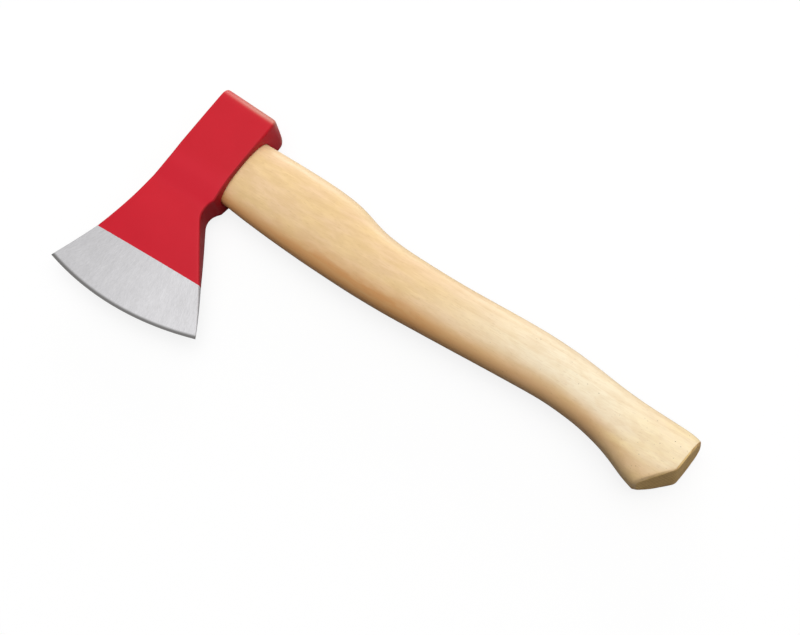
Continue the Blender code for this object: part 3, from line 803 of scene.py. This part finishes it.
def turned_steel():
    """Bare dull steel with short scratches."""
    material, tree, shader, place = new_material("turned steel")
    short_scratches = {"Vector": place["Object"], "Scratch Width": 0.0002, "Scratch Length": 0.002}
    scratches = placed_group(tree, GROUND_STEEL, short_scratches)
    fill_inputs(tree, shader, {
        "Base Color": blended(tree, scratches["Tone"], RING_STEEL_DARK, RING_STEEL),
        "Metallic": 1.0,
        "Roughness": stepped(tree, scratches["Tone"], *NOISE_RANGE, *RING_ROUGHNESS),
        "Normal": relief(tree, scratches["Height"], *RING_RELIEF),
    })
    return material


ring_wedge = finished_copy("steel_ring_wedge", "ring_wedge", levels=2)
ring_wedge.data.materials.append(turned_steel())


# ---------------------------------------------------------------- floor
# A flat white sweep under the hatchet. It keeps a faint shadow near the hatchet and fades to plain
# white away from it, and it gives little light back, so that the belly and the undersides stay dark.

FLOOR_HALF = 4.0
WHITE = (1.0, 1.0, 1.0, 1.0)
FLOOR_BOUNCE = (0.08, 0.055, 0.038, 1.0)  # how much light it gives back to the object
# painted shade: grey in mirrors in front of the hatchet
FLOOR_IN_MIRRORS = (0.40, 0.40, 0.40, 1.0)  # in front, where the head's underside mirrors it
FLOOR_BEHIND = (0.05, 0.11)               # it turns white in mirrors from here to here, along Y
FLOOR_SHADOW = 0.16                       # how dark a full shadow on it looks
SHADOW_FADES = (0.28, 0.60)               # away from the middle of the hatchet


def white_floor():
    """White to the camera and in mirrors, but grey in mirrors in front as painted shade, and darker to the
    light it gives back.
    """
    material = bpy.data.materials.new("white sweep")
    material.use_nodes = True
    tree = material.node_tree
    tree.nodes.clear()
    at = place_node(tree, "TexCoord").outputs["Object"]
    # What the camera sees: plain white, with a share of lit white that shows the shadow
    glow = place_node(tree, "Emission", {"Color": WHITE, "Strength": 1.0}).outputs[0]
    lit = place_node(tree, "BsdfDiffuse", {"Color": WHITE}).outputs[0]
    shadow = stepped(tree, length_of(tree, at), *SHADOW_FADES, FLOOR_SHADOW, 0.0)
    seen = place_node(tree, "MixShader", {0: shadow, 1: glow, 2: lit}).outputs[0]
    # What the object's gloss mirrors, and what lights it from below
    behind = stepped(tree, part_of(tree, at, "Y"), *FLOOR_BEHIND)
    mirror_tone = blended(tree, behind, FLOOR_IN_MIRRORS, WHITE)
    in_mirrors = place_node(tree, "BsdfDiffuse", {"Color": mirror_tone}).outputs[0]
    bounce = place_node(tree, "BsdfDiffuse", {"Color": FLOOR_BOUNCE}).outputs[0]
    rays = place_node(tree, "LightPath").outputs
    mirrored = calculated(tree, 'MAXIMUM', rays["Is Glossy Ray"], rays["Is Transmission Ray"])
    unseen = place_node(tree, "MixShader", {0: mirrored, 1: bounce, 2: in_mirrors}).outputs[0]
    shown = place_node(tree, "MixShader", {0: rays["Is Camera Ray"], 1: unseen, 2: seen}).outputs[0]
    place_node(tree, "OutputMaterial", {"Surface": shown})
    return material


sweep = bmesh.new()
bmesh.ops.create_grid(sweep, x_segments=1, y_segments=1, size=FLOOR_HALF)
sweep_mesh = bpy.data.meshes.new("floor")
sweep.to_mesh(sweep_mesh)
sweep.free()
floor = bpy.data.objects.new("floor", sweep_mesh)
bpy.context.collection.objects.link(floor)
floor.data.materials.append(white_floor())


# ---------------------------------------------------------------- light
# A soft dome, brightest above and a little behind, and one softbox low behind the poll. The camera
# and reflections see plain white all round.

DOME_TOP = Vector((0.12, 0.16, 0.975)).normalized()
DOME_LIGHT = 2.82             # in the direction of its top
DOME_FOCUS = 4.0              # how quickly it falls off to the sides
DOME_FILL = (0.035, 0.030, 0.027, 1.0)
KEY_FROM = Vector((-0.47, 0.87, 0.18)).normalized()
KEY_DISTANCE = 1.7
KEY_WIDTH = 0.9
KEY_HEIGHT = 0.5
KEY_POWER = 10.5              # watts


def light_the_world():
    """The dome, which only lights: the camera and mirrors see white in its place."""
    world = bpy.data.worlds.new("soft studio")
    bpy.context.scene.world = world
    world.use_nodes = True
    tree = world.node_tree
    tree.nodes.clear()
    direction = place_node(tree, "TexCoord").outputs["Generated"]
    height = place_node(
        tree, "VectorMath", {0: direction, 1: DOME_TOP}, operation='DOT_PRODUCT',
    ).outputs["Value"]
    dome = calculated(tree, 'POWER', calculated(tree, 'MAXIMUM', height, 0.0), DOME_FOCUS)
    dome = product(tree, dome, DOME_LIGHT)
    dome = place_node(tree, "CombineColor", {0: dome, 1: dome, 2: dome}).outputs[0]
    lit = blended(tree, 1.0, dome, DOME_FILL, 'ADD')
    rays = place_node(tree, "LightPath").outputs
    seen = calculated(tree, 'MAXIMUM', rays["Is Camera Ray"], rays["Is Glossy Ray"])
    seen = calculated(tree, 'MAXIMUM', seen, rays["Is Transmission Ray"])
    sky = blended(tree, seen, lit, WHITE)
    background = place_node(tree, "Background", {"Color": sky, "Strength": 1.0}).outputs[0]
    place_node(tree, "OutputWorld", {"Surface": background})


light_the_world()
key = bpy.data.lights.new("key softbox", 'AREA')
key.energy = KEY_POWER
key.shape = 'RECTANGLE'
key.size = KEY_WIDTH
key.size_y = KEY_HEIGHT
key_lamp = bpy.data.objects.new("key_softbox", key)
key_lamp.location = KEY_FROM * KEY_DISTANCE
key_lamp.rotation_euler = KEY_FROM.to_track_quat('Z', 'Y').to_euler()
bpy.context.collection.objects.link(key_lamp)


# ---------------------------------------------------------------- camera
# The photograph looks steeply down on the hatchet from the side of the cutting edge and the butt,
# with the head to the upper left. Place, turn and lens were fitted to the hatchet's outline.

CAMERA_PLACE = (0.282796, -0.202266, 0.755)
CAMERA_TURN = (24.0271, 7.1630, 36.2)     # degrees
CAMERA_LENS = 64.755          # millimetres

camera = bpy.data.cameras.new("camera")
camera.lens = CAMERA_LENS
camera_stand = bpy.data.objects.new("camera", camera)
camera_stand.location = CAMERA_PLACE
camera_stand.rotation_euler = [radians(turn) for turn in CAMERA_TURN]
bpy.context.collection.objects.link(camera_stand)
bpy.context.scene.camera = camera_stand
bpy.context.scene.view_settings.view_transform = 'Standard'


bpy.context.view_layer.update()
